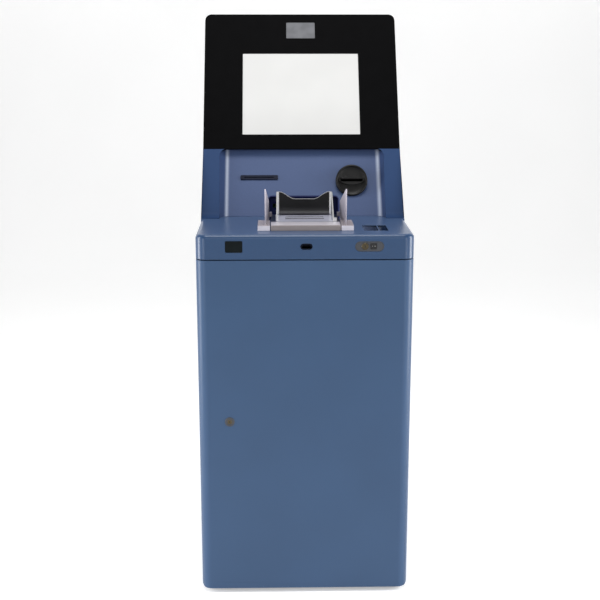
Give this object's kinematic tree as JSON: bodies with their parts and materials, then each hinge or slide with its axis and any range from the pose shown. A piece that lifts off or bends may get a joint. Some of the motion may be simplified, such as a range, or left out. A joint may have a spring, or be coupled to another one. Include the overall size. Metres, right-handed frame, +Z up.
{
  "type": "cash deposit terminal",
  "caption": "Free-standing cash deposit machine: cabinet with a front door, note hopper on a shelf, card and receipt slots, and a leaning head with a touch screen.",
  "frame": {"origin": "centre of the footprint on the floor", "axes": "+Z up, +X to the user's right, the user stands on the -Y side"},
  "size_m": [0.55, 0.7, 1.512],
  "materials": {
    "blue_paint": "satin powder coat",
    "dark_paint": "matt",
    "zinc_steel": "satin",
    "polished_steel": "polished",
    "lock_brass": "worn",
    "black_face": "satin",
    "dark_plastic": "matt",
    "navy_plastic": "matt",
    "white_plastic": "satin",
    "screen_glass": "glossy",
    "tinted_glass": "glossy",
    "camera_glass": "glossy",
    "black_rubber": "matt",
    "receipt_paper": "matt",
    "red_plastic": "gloss",
    "green_case": "matt"
  },
  "bodies": {
    "cabinet": {"side_panel_left": "blue_paint", "side_panel_right": "blue_paint", "lower_back_panel": "blue_paint", "console_shell": "blue_paint", "fascia_panel": "blue_paint", "cheek_frame": "blue_paint", "head_shell": "blue_paint", "base_plate": "dark_paint", "deck_plate": "dark_paint", "cash_cassette": "dark_paint", "computer": "dark_paint", "front_frame": "zinc_steel", "lower_pivot_pin": "zinc_steel", "upper_pivot_pin": "zinc_steel", "cassette_shelf": "zinc_steel", "drop_chute": "zinc_steel", "display_panel": "zinc_steel", "card_reader": "zinc_steel", "feed_motor": "zinc_steel", "hopper_base": "polished_steel", "head_face": "black_face", "receipt_bezel": "black_face", "centre_socket": "black_face", "presence_sensor": "black_face", "card_bezel": "dark_plastic", "lock_plate": "dark_plastic", "receipt_printer": "dark_plastic", "camera_module": "dark_plastic", "exhaust_fan_frame": "dark_plastic", "mains_inlet": "dark_plastic", "pocket_liner": "navy_plastic", "touch_screen": "screen_glass", "shelf_window": "tinted_glass", "code_reader_window": "tinted_glass", "camera_window": "camera_glass", "foot_1": "black_rubber", "foot_2": "black_rubber", "foot_3": "black_rubber", "foot_4": "black_rubber", "note_validator": "green_case"},
    "lower_door": {"lower_door": "blue_paint", "door_lock_barrel": "polished_steel"},
    "door_lock_plug": {"door_lock_plug": "lock_brass"},
    "cassette_handle": {"cassette_handle": "zinc_steel"},
    "power_button": {"power_button": "zinc_steel"},
    "fan_rotor": {"fan_rotor": "dark_plastic"},
    "mains_switch": {"mains_switch": "red_plastic"},
    "key_lock_plug": {"key_lock_plug": "lock_brass"},
    "guide_right": {"guide_right": "white_plastic"},
    "guide_left": {"guide_left": "white_plastic"},
    "pusher": {"pusher_frame": "polished_steel", "pusher_plate": "black_face"},
    "feed_roller_front": {"feed_roller_front": "black_rubber"},
    "feed_roller_rear": {"feed_roller_rear": "black_rubber"},
    "drive_wheel": {"drive_wheel": "black_rubber"},
    "paper_roll": {"paper_roll": "receipt_paper"},
    "platen_roller": {"platen_roller": "black_rubber"},
    "rear_door": {"rear_door": "blue_paint", "rear_lock_barrel": "polished_steel"},
    "rear_lock_plug": {"rear_lock_plug": "lock_brass"}
  },
  "joints": [
    {"name": "lower_door_hinge", "type": "hinge", "parent": "cabinet", "child": "lower_door", "pos_m": [0.255, -0.3232, 0.012], "axis": [0, 0, 1], "range_deg": [0, 110]},
    {"name": "door_lock_turn", "type": "hinge", "parent": "lower_door", "child": "door_lock_plug", "pos_m": [-0.1945, -0.3482, 0.4825], "axis": [0, 1, 0], "range_deg": [0, 90]},
    {"name": "cassette_handle_swing", "type": "hinge", "parent": "cabinet", "child": "cassette_handle", "pos_m": [0, -0.2272, 0.565], "axis": [-1, 0, 0], "range_deg": [0, 100]},
    {"name": "power_button_push", "type": "slide", "parent": "cabinet", "child": "power_button", "axis": [0, 1, 0], "range_m": [0, 0.002], "stiffness_N_per_m": 400},
    {"name": "fan_spin", "type": "hinge", "parent": "cabinet", "child": "fan_rotor", "pos_m": [0, 0.3319, 0.7], "axis": [0, 1, 0], "continuous": true},
    {"name": "mains_switch_rock", "type": "hinge", "parent": "cabinet", "child": "mains_switch", "pos_m": [0.112, 0.3417, 0.075], "axis": [-1, 0, 0], "range_deg": [0, 16]},
    {"name": "key_lock_turn", "type": "hinge", "parent": "cabinet", "child": "key_lock_plug", "pos_m": [0.15, -0.3482, 0.942], "axis": [0, 1, 0], "range_deg": [0, 90]},
    {"name": "guide_right_slide", "type": "slide", "parent": "cabinet", "child": "guide_right", "axis": [1, 0, 0], "range_m": [0, 0.012]},
    {"name": "guide_left_slide", "type": "slide", "parent": "cabinet", "child": "guide_left", "axis": [-1, 0, 0], "range_m": [0, 0.012]},
    {"name": "pusher_slide", "type": "slide", "parent": "cabinet", "child": "pusher", "axis": [0, -1, 0], "range_m": [0, 0.045]},
    {"name": "feed_roller_front_spin", "type": "hinge", "parent": "cabinet", "child": "feed_roller_front", "pos_m": [0.003, -0.1812, 0.9785], "axis": [-1, 0, 0], "continuous": true},
    {"name": "feed_roller_rear_spin", "type": "hinge", "parent": "cabinet", "child": "feed_roller_rear", "pos_m": [0.003, -0.1532, 0.9785], "axis": [-1, 0, 0], "continuous": true},
    {"name": "drive_wheel_spin", "type": "hinge", "parent": "cabinet", "child": "drive_wheel", "pos_m": [0.0675, -0.1672, 0.97233], "axis": [-1, 0, 0], "continuous": true},
    {"name": "paper_roll_spin", "type": "hinge", "parent": "cabinet", "child": "paper_roll", "pos_m": [-0.1187, 0.1158, 1.084], "axis": [-1, 0, 0], "continuous": true},
    {"name": "platen_roller_spin", "type": "hinge", "parent": "cabinet", "child": "platen_roller", "pos_m": [-0.1187, 0.0718, 1.0603], "axis": [-1, 0, 0], "continuous": true},
    {"name": "rear_door_hinge", "type": "hinge", "parent": "cabinet", "child": "rear_door", "pos_m": [0.269, 0.3422, 0.9096], "axis": [0, 0, -1], "range_deg": [0, 110]},
    {"name": "rear_lock_turn", "type": "hinge", "parent": "rear_door", "child": "rear_lock_plug", "pos_m": [-0.24, 0.3482, 1.2], "axis": [0, 1, 0], "range_deg": [0, 90]}
  ],
  "couplings": [
    {"joint": "guide_left_slide", "follows": "guide_right_slide", "ratio": 1},
    {"joint": "feed_roller_rear_spin", "follows": "feed_roller_front_spin", "ratio": 1},
    {"joint": "drive_wheel_spin", "follows": "feed_roller_front_spin", "ratio": -0.5},
    {"joint": "platen_roller_spin", "follows": "paper_roll_spin", "ratio": -4.9038}
  ]
}
